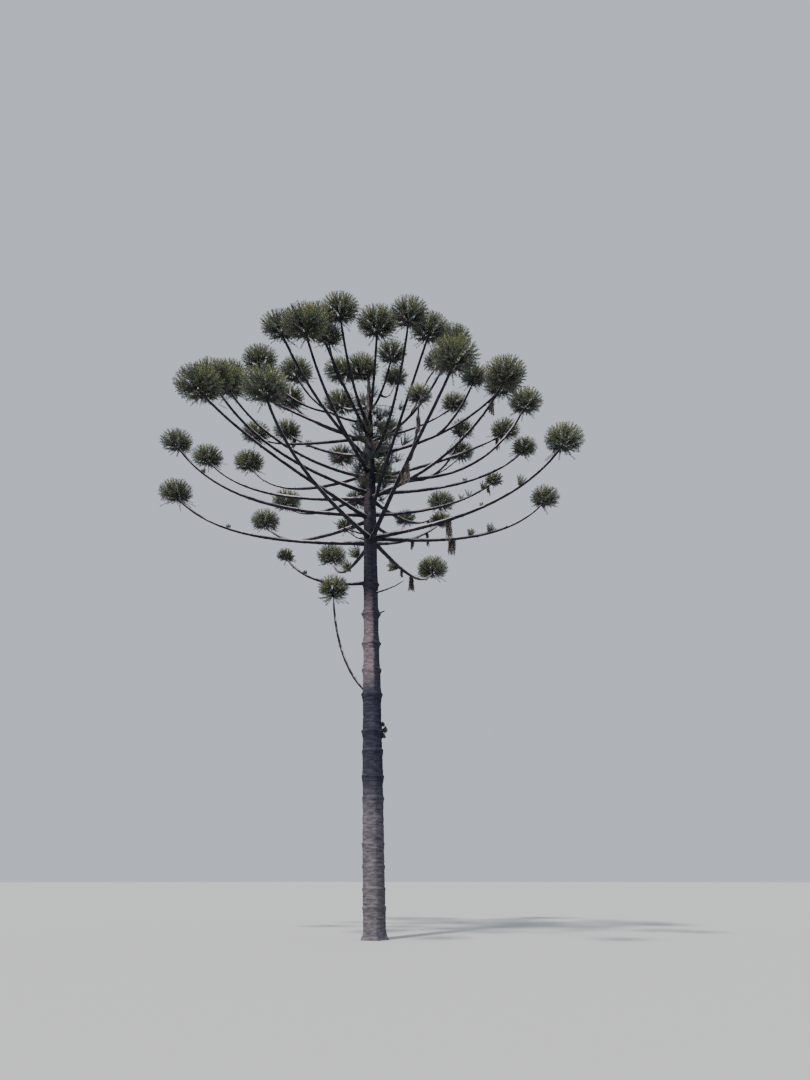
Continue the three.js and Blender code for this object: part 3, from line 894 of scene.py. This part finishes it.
class Foliage:
    """The needles of all domes, gathered by tone, and the twigs, in pieces of a bounded size."""

    def __init__(self):
        self.groups = {kind: [Parts()] for kind in ("twigs", *TONES)}
        self.rng = np.random.default_rng(FOLIAGE_SEED)

    def group_for(self, kind, more):
        groups = self.groups[kind]
        if groups[-1].triangles() + more > PIECE_TRIANGLES:
            groups.append(Parts())
        return groups[-1]

    def add_twigs(self, paths, radius, rings=2, sides=3):
        shares = np.linspace(0, TWIG_END_SHARE, rings)
        radii = radius * (1 - TWIG_TAPER * shares)
        for path in paths:
            parts = self.group_for("twigs", 2 * rings * sides)
            tube(parts, bezier(path, shares), bezier_tangent(path, shares), radii, sides)

    def add(self, tone, paths, count=NEEDLES, length=NEEDLE_LENGTH, scruffy=0.0,
            needled=NEEDLED_LENGTH):
        """Branchlets of one tone, each a twig with this many needles of this length."""
        if paths:
            parts = self.group_for(tone, 2 * count * len(paths))
            add_needles(parts, paths, self.rng, count, length, scruffy, needled)
            self.add_twigs(paths, TWIG_RADIUS)

    def pieces(self):
        for kind, groups in self.groups.items():
            name = kind if kind == "twigs" else "needles_" + kind
            for order, parts in enumerate(groups, 1):
                material = foliage_material(kind)
                parts.piece(f"{name}_{order}", material, "foliage", FOLIAGE_NODES, kind == "twigs")


def add_dome(foliage, dome, plant, random):
    by_tone = {tone: [] for tone in TONES}
    for path, sine, tone in branchlets_of(dome, plant, random):
        by_tone[tone_name(sine, tone)].append(path)
    for tone, paths in by_tone.items():
        foliage.add(tone, paths)
    whiskers = whiskers_of(dome, random)
    for tone, paths in (("dusky", whiskers[::2]), ("dry", whiskers[1::2])):
        foliage.add(tone, paths, *WHISKER_NEEDLES)


# Fans of branchlets: least and full reach, where they bend, and how far their tips lift.
FAN_REACHES = (0.75, 1)
FAN_BENDS = (0.3, 0.65)
FAN_LIFT = 0.12

# Hanging branchlets: how far apart their roots are, least and full reach, how far they swing
# aside, and how their upper and lower bends stand out and drop.
HANGING_STEP = 0.0045
HANGING_REACHES = (0.55, 1)
HANGING_SWING = 0.14
HANGING_OUT = 0.07
HANGING_DROP = 0.2
HANGING_BEND = 0.7


def fan_of_paths(at, axis, count, length, spread, rng):
    """Branchlets that fan out from one point round an axis."""
    paths = []
    for k in range(count):
        aside = spread * math.sqrt((k + 0.5) / count) * around(axis, k * GOLDEN_ANGLE)
        direction = unit(axis + aside)
        reach = length * rng.uniform(*FAN_REACHES)
        path = straight_path(at, direction * reach, (0, *FAN_BENDS, 1))
        path[3, 2] += FAN_LIFT * reach
        paths.append(path)
    return paths


def hanging_paths(at, along, count, length, rng):
    """Dead branchlets that hang close together from a short stretch of a bough."""
    paths = []
    for _ in range(count):
        root = at + along * rng.uniform(-1, 1) * HANGING_STEP * count
        reach = length * rng.uniform(*HANGING_REACHES)
        swing = np.array((*rng.uniform(-HANGING_SWING, HANGING_SWING, 2), -1)) * reach
        out = np.array((*rng.uniform(-HANGING_OUT, HANGING_OUT, 2), -HANGING_DROP * reach))
        paths.append(np.stack((root, root + out, root + HANGING_BEND * swing, root + swing)))
    return paths


# Young sprouts on bare boughs: limb, share along it, how many branchlets, their length, and the
# bearing that they lean to with the slope that they rise at. An arm's label ends in b.
SPROUTS = (
    ("03", 0.46, 11, 0.28, 0, 2), ("03", 0.57, 12, 0.32, 0, 2), ("11", 0.70, 12, 0.34, 330, 2),
    ("12", 0.84, 12, 0.32, 24, 2), ("05", 0.34, 26, 0.5, 190, 0.1), ("05", 0.95, 16, 0.6, 200, 0.2),
    ("05", 0.97, 10, 0.55, 180, -0.5), ("06", 0.38, 24, 0.5, 120, 0.4),
    ("06", 0.18, 24, 0.5, 150, 1), ("24", 0.62, 6, 0.22, 317, 2), ("08", 0.62, 4, 0.14, 181, 3),
    ("16", 0.78, 6, 0.18, 188, 3), ("02", 0.66, 5, 0.14, 160, 3), ("19", 0.5, 4, 0.14, 8, 3),
    ("33", 0.6, 8, 0.3, 143, 1), ("12", 0.54, 3, 0.26, 24, 5), ("12", 0.62, 4, 0.22, 24, 5),
    ("12", 0.69, 3, 0.28, 24, 5), ("01", 0.97, 8, 0.55, 205, -0.5), ("01", 0.97, 7, 0.5, 335, -0.4),
    ("11", 0.5, 4, 0.16, 327, 3), ("20", 0.7, 5, 0.24, 64, -1),
)

# Dead clumps that hang from a bough: limb, share along it, branchlets, length.
DEAD_CLUMPS = (
    ("03", 0.37, 22, 0.55), ("03", 0.18, 5, 0.3), ("10", 0.41, 20, 0.6), ("10", 0.36, 8, 0.45),
    ("05", 0.51, 30, 0.62), ("05", 0.36, 6, 0.3), ("10b", 0.8, 14, 0.55), ("24", 0.86, 9, 0.45),
    ("32", 0.89, 9, 0.5), ("35", 0.86, 10, 0.5), ("12", 0.92, 5, 0.35), ("04", 0.7, 8, 0.5),
    ("33", 0.85, 9, 0.45), ("20", 0.84, 7, 0.4), ("11", 0.345, 18, 0.62),
)

# Small tufts that grow straight from the trunk: height, bearing, branchlets, length.
TRUNK_TUFTS = (
    (5.95, 350, 8, 0.1), (5.78, 352, 14, 0.15), (5.6, 346, 10, 0.12), (14.15, 325, 16, 0.55),
    (14.6, 350, 14, 0.6), (15.1, 320, 16, 0.55), (15.55, 345, 14, 0.6), (16.1, 10, 12, 0.55),
)

# Needles on these branchlets: how many on each, length, and how unkempt they are.
SPROUT_NEEDLES = (34, 0.055)
DEAD_NEEDLES = (50, 0.07, 0.1)
TUFT_NEEDLES = (50, 0.045)
THICKET_NEEDLES = (24, 0.055, 0.2)

# How widely sprouts and all others fan out, and how a tuft rises from inside the bark.
SPROUT_SPREAD = 0.75
WIDE_SPREAD = 0.9
TUFT_SLOPE = 0.2
TUFT_SUNK = 0.02

# Thin twigs that crowd round the trunk inside the crown, each with a small spray at its end: how
# many, between which heights, how far they reach, what share of it all round and more to one side,
# and how they rise.
THICKET_TWIGS = 84
THICKET_HEIGHTS = (13.6, 17.5)
THICKET_REACH = (0.4, 1.25)
THICKET_SIDES = (0.75, 0.4)
THICKET_RISES = (-0.3, 0.45)

# Where such a twig bends, as shares of its reach outwards and upwards, how far it turns aside in
# degrees, its radius, rings and sides, and its spray: branchlets, length, place and lift.
THICKET_FIRST = (0.35, 0.1)
THICKET_SECOND = (0.75, -0.12)
THICKET_TURN = 25
THICKET_TUBE = (0.017, 7, 5)
THICKET_SPRAY = (9, 0.4)
THICKET_SPRAY_AT = 0.9
THICKET_SPRAY_LIFT = 0.3
THICKET_TONES = ("dusky", "deep", "dusky", "dry", "dusky")
DETAIL_SEED = 41


def limb_of(label):
    plant = next(plant for plant in PLANTS if plant["label"] == label[:2])
    return plant["stems"][1 if label.endswith("b") else 0]


def add_thicket(foliage, rng):
    """Twigs that reach out from the trunk and sag, furthest to one side, with sprays at the ends."""
    every_side, one_side = THICKET_SIDES
    for i in range(THICKET_TWIGS):
        start = on_trunk_axis(rng.uniform(*THICKET_HEIGHTS))
        angle = i * GOLDEN_ANGLE
        bearing = math.degrees(angle)
        reach = rng.uniform(*THICKET_REACH) * (every_side + one_side * math.cos(angle))
        tip = start + polar(bearing, reach, rng.uniform(*THICKET_RISES) * reach)
        turned = bearing + rng.uniform(-THICKET_TURN, THICKET_TURN)
        first = start + polar(bearing, *(share * reach for share in THICKET_FIRST))
        second = start + polar(turned, *(share * reach for share in THICKET_SECOND))
        path = np.stack((start, first, second, tip))
        foliage.add_twigs([path], *THICKET_TUBE)
        axis = unit(tip - second + (0, 0, THICKET_SPRAY_LIFT * reach))
        at = bezier(path, THICKET_SPRAY_AT)
        spray = fan_of_paths(at, axis, *THICKET_SPRAY, WIDE_SPREAD, rng)
        tone = THICKET_TONES[i % len(THICKET_TONES)]
        foliage.add(tone, spray, *THICKET_NEEDLES)


def add_details(foliage):
    """Sprouts and dead clumps on boughs, tufts on the trunk, and the thicket round it."""
    rng = np.random.default_rng(DETAIL_SEED)
    for label, share, count, length, bearing, slope in SPROUTS:
        at = bezier(limb_of(label)["path"], share)
        axis = unit(polar(bearing, 1, slope))
        paths = fan_of_paths(at, axis, count, length, SPROUT_SPREAD, rng)
        foliage.add("deep", paths[::2], *SPROUT_NEEDLES)
        foliage.add("olive", paths[1::2], *SPROUT_NEEDLES)
    for label, share, count, length in DEAD_CLUMPS:
        limb = limb_of(label)
        at = bezier(limb["path"], share) - (0, 0, 0.5 * limb_radius(limb, share))
        paths = hanging_paths(at, bezier_tangent(limb["path"], share), count, length, rng)
        foliage.add("dry", paths, *DEAD_NEEDLES, needled=length)
    for height, bearing, count, length in TRUNK_TUFTS:
        at = on_trunk_axis(height) + polar(bearing, trunk_radius(height) - TUFT_SUNK, 0)
        axis = unit(polar(bearing, 1, TUFT_SLOPE))
        paths = fan_of_paths(at, axis, count, length, WIDE_SPREAD, rng)
        foliage.add("deep", paths, *TUFT_NEEDLES)
    add_thicket(foliage, rng)


def make_foliage():
    foliage = Foliage()
    for number, plant in enumerate(PLANTS, 1):
        random = seeded(number)
        for dome in plant["domes"]:
            add_dome(foliage, dome, plant, random)
    add_details(foliage)
    foliage.pieces()


# Materials

# Finishes: colour, roughness and specular level. That of the needles goes with each tone.
TRUNK_FINISH = ((0.08, 0.07, 0.08), 0.93, 0.15)
LIMB_FINISH = ((0.04, 0.038, 0.045), 0.88, 0.15)
TWIG_FINISH = ((0.05, 0.042, 0.032), 0.85, 0.15)
NEEDLE_FINISH = (0.5, 0.35)
FLOOR_FINISH = ((0.46, 0.46, 0.455), 0.9, 0.5)

# Bark in three tones, from its cracks to its ridges, and where on the noise each tone is full.
TRUNK_TONES = ((0.052, 0.048, 0.060), (0.092, 0.084, 0.097), (0.165, 0.148, 0.160))
# The limbs' dark bark is darkened further and tinted blue, as painted shade for their undersides.
LIMB_TONES = ((0.006, 0.007, 0.012), (0.013, 0.014, 0.021), (0.030, 0.028, 0.036))
BARK_STOPS = (0.3, 0.47, 0.62, 0.8)
# Pale lichen, and the painted highlight on the limbs' upper sides.
LICHEN_AND_PAINTED_HIGHLIGHT = (0.46, 0.40, 0.43, 1)

# Noise textures: scale, detail, and stretch along each axis. Patches blur an edge by a share.
BARK_NOISE = (5, 9, (1, 1, 4))
FINE_NOISE = (30, 8, (1, 1, 2.4))
TRUNK_PATCHES = (2.2, 7, (1, 1, 2.2))
LIMB_PATCHES = (2.6, 6, (1, 1, 1))
NOISE_ROUGHNESS = 0.62
PATCHINESS = 0.6

# Where the trunk's painted sunlit side and the limbs' lichen with their painted highlight on top
# begin and are full, and how the painted sunlit side narrows with height as a share of the
# trunk's.
PAINTED_SUNLIT_SIDE = (0.86, 1.0)
LICHEN_AND_HIGHLIGHT_SIDE = (0.5, 0.7)
SUNLIT_SIDE_NARROWING = ((0.5, (0, 0, 0)), (0.7, (0.2, 0.2, 0.2)))

# Bumps as strength and distance.
TRUNK_BUMP = (0.6, 0.008)
LIMB_BUMP = (0.5, 0.005)


def new_material(name, color, roughness, specular):
    material = bpy.data.materials.new(name)
    material.use_nodes = True
    shader = material.node_tree.nodes["Principled BSDF"]
    shader.inputs["Base Color"].default_value = (*color, 1)
    shader.inputs["Roughness"].default_value = roughness
    shader.inputs["Specular IOR Level"].default_value = specular
    return material, material.node_tree, shader


def feed(tree, socket, value):
    """Links an input to another socket, or sets it to a plain value."""
    if isinstance(value, bpy.types.NodeSocket):
        tree.links.new(value, socket)
    else:
        socket.default_value = value


def add_node(tree, kind, **inputs):
    """A node whose inputs of these names are fed."""
    node = tree.nodes.new(kind)
    for name, value in inputs.items():
        feed(tree, node.inputs[name], value)
    return node


def add_noise(tree, scale, detail, stretch):
    """A noise texture on the object's own place, stretched by a scale along each axis."""
    place = add_node(tree, "ShaderNodeTexCoord").outputs["Object"]
    mapping = add_node(tree, "ShaderNodeMapping", Vector=place, Scale=stretch)
    texture = add_node(
        tree, "ShaderNodeTexNoise", Vector=mapping.outputs["Vector"], Scale=scale, Detail=detail,
        Roughness=NOISE_ROUGHNESS,
    )
    return texture.outputs["Fac"]


def add_math(tree, operation, *values):
    """Arithmetic on sockets and plain numbers."""
    node = add_node(tree, "ShaderNodeMath")
    node.operation = operation
    for socket, value in zip(node.inputs, values):
        feed(tree, socket, value)
    return node.outputs["Value"]


def add_ramp(tree, source, stops):
    ramp = add_node(tree, "ShaderNodeValToRGB", Fac=source)
    elements = ramp.color_ramp.elements
    while len(elements) < len(stops):
        elements.new(0.5)
    for element, (position, color) in zip(elements, stops):
        element.position = position
        element.color = (*color, 1)
    return ramp.outputs["Color"]


def add_edge(tree, source, start, end):
    """From black to white between two values."""
    return add_ramp(tree, source, ((start, (0, 0, 0)), (end, (1, 1, 1))))


def add_bump(tree, shader, strength, distance):
    """Fine bumps of bark."""
    height = add_noise(tree, *FINE_NOISE)
    bump = add_node(tree, "ShaderNodeBump", Strength=strength, Distance=distance, Height=height)
    tree.links.new(bump.outputs["Normal"], shader.inputs["Normal"])


def mix_colors(tree, factor, below, above, blend="MIX"):
    """One colour over another by a factor; each is a socket or a plain colour."""
    mix = add_node(tree, "ShaderNodeMix")
    mix.data_type = "RGBA"
    mix.blend_type = blend
    for name, value in (("Factor", factor), ("A", below), ("B", above)):
        feed(tree, next(s for s in mix.inputs if s.name == name and s.enabled), value)
    return next(s for s in mix.outputs if s.name == "Result" and s.enabled)


def bark_colors(tree, dark, middle, light):
    """Bark in three close tones by a coarse noise stretched sideways."""
    stops = tuple(zip(BARK_STOPS, (dark, middle, light, middle)))
    return add_ramp(tree, add_noise(tree, *BARK_NOISE), stops)


def bark_material():
    """Grey bark, flaking and pinkish higher up, with painted light: darker above the low trunk as
    painted shadow of the crown, and paler on the side facing the sun as painted sunlight.
    """
    material, tree, shader = new_material("trunk_bark_finish", *TRUNK_FINISH)
    tones = bark_colors(tree, *TRUNK_TONES)
    place = add_node(tree, "ShaderNodeTexCoord").outputs["Object"]
    split = add_node(tree, "ShaderNodeSeparateXYZ", Vector=place)
    share = add_math(tree, "DIVIDE", split.outputs["Z"], TRUNK_TIP)
    # Painted light and shade by height: one ramp for the painted sunlit side, one for the painted
    # shaded sides.
    pale, dark = (
        add_ramp(tree, share, [(painted_sun_and_shade[0] / TRUNK_TIP, painted_sun_and_shade[side]) for painted_sun_and_shade in TRUNK_PAINTED_LIGHT_AND_SHADE])
        for side in (1, 2)
    )
    # Painted sunlight: the side whose normal faces this bearing takes the sunlit ramp, with patchy
    # edges.
    facing = add_node(tree, "ShaderNodeVectorMath")
    facing.operation = "DOT_PRODUCT"
    feed(tree, facing.inputs[0], add_node(tree, "ShaderNodeNewGeometry").outputs["Normal"])
    feed(tree, facing.inputs[1], polar(SUNLIT_SIDE_BEARING, 1, 0))
    patches = add_noise(tree, *TRUNK_PATCHES)
    edge = add_math(tree, "MULTIPLY_ADD", patches, PATCHINESS, facing.outputs["Value"])
    narrowed = add_math(tree, "SUBTRACT", edge, add_ramp(tree, share, SUNLIT_SIDE_NARROWING))
    painted_sun_and_shade = mix_colors(tree, add_edge(tree, narrowed, *PAINTED_SUNLIT_SIDE), dark, pale)
    bark_with_painted_light = mix_colors(tree, 1.0, tones, painted_sun_and_shade, "MULTIPLY")
    tree.links.new(bark_with_painted_light, shader.inputs["Base Color"])
    add_bump(tree, shader, *TRUNK_BUMP)
    return material


def limb_material():
    """Dark bark whose upper side is painted light, as a painted highlight of the sun, in patches of
    pale lichen.
    """
    material, tree, shader = new_material("bough_bark_finish", *LIMB_FINISH)
    tones = bark_colors(tree, *LIMB_TONES)
    normal = add_node(tree, "ShaderNodeNewGeometry").outputs["Normal"]
    split = add_node(tree, "ShaderNodeSeparateXYZ", Vector=normal)
    # Painted highlight: the higher the normal points, the more the upper side is painted light, in
    # lichen-like patches.
    patches = add_noise(tree, *LIMB_PATCHES)
    upper = add_math(tree, "MULTIPLY_ADD", split.outputs["Z"], PATCHINESS, patches)
    bark_with_lichen_and_highlight = mix_colors(tree, add_edge(tree, upper, *LICHEN_AND_HIGHLIGHT_SIDE), tones, LICHEN_AND_PAINTED_HIGHLIGHT)
    tree.links.new(bark_with_lichen_and_highlight, shader.inputs["Base Color"])
    add_bump(tree, shader, *LIMB_BUMP)
    return material


def foliage_material(kind):
    if kind == "twigs":
        return new_material("twig_finish", *TWIG_FINISH)[0]
    return new_material("needles_" + kind + "_finish", TONES[kind], *NEEDLE_FINISH)[0]


# Stage: floor, light and camera

FLOOR_RADIUS = 400
FLOOR_SIDES = 96
AMBIENT_COLOR = (0.76, 0.83, 0.94, 1)
AMBIENT_STRENGTH = 0.75
SUN_COLOR = (1, 0.97, 0.92)
SUN_ENERGY = 4.4
SUN_ANGLE = 5
SUN_TURN = (33, 0, -32)
FARTHEST_SEEN = 2000


def make_stage():
    bpy.ops.mesh.primitive_circle_add(vertices=FLOOR_SIDES, radius=FLOOR_RADIUS, fill_type="NGON")
    floor = bpy.context.object
    floor.name = "floor"
    floor.data.materials.append(new_material("floor_finish", *FLOOR_FINISH)[0])
    world = bpy.data.worlds.new("studio")
    bpy.context.scene.world = world
    world.use_nodes = True
    background = world.node_tree.nodes["Background"]
    background.inputs["Color"].default_value = AMBIENT_COLOR
    background.inputs["Strength"].default_value = AMBIENT_STRENGTH
    sun = bpy.data.lights.new("key", "SUN")
    sun.energy = SUN_ENERGY
    sun.angle = math.radians(SUN_ANGLE)
    sun.color = SUN_COLOR
    key = bpy.data.objects.new("key", sun)
    key.rotation_euler = [math.radians(turn) for turn in SUN_TURN]
    bpy.context.scene.collection.objects.link(key)


def make_camera():
    lens = bpy.data.cameras.new("camera")
    lens.sensor_width = CAMERA_SENSOR
    lens.lens = CAMERA_LENS
    lens.clip_end = FARTHEST_SEEN
    camera = bpy.data.objects.new("camera", lens)
    camera.location = CAMERA_AT
    camera.rotation_euler = (math.radians(90 + CAMERA_PITCH), 0, 0)
    bpy.context.scene.collection.objects.link(camera)
    bpy.context.scene.camera = camera


make_camera()
make_stage()
make_trunk()
make_limbs()
make_foliage()
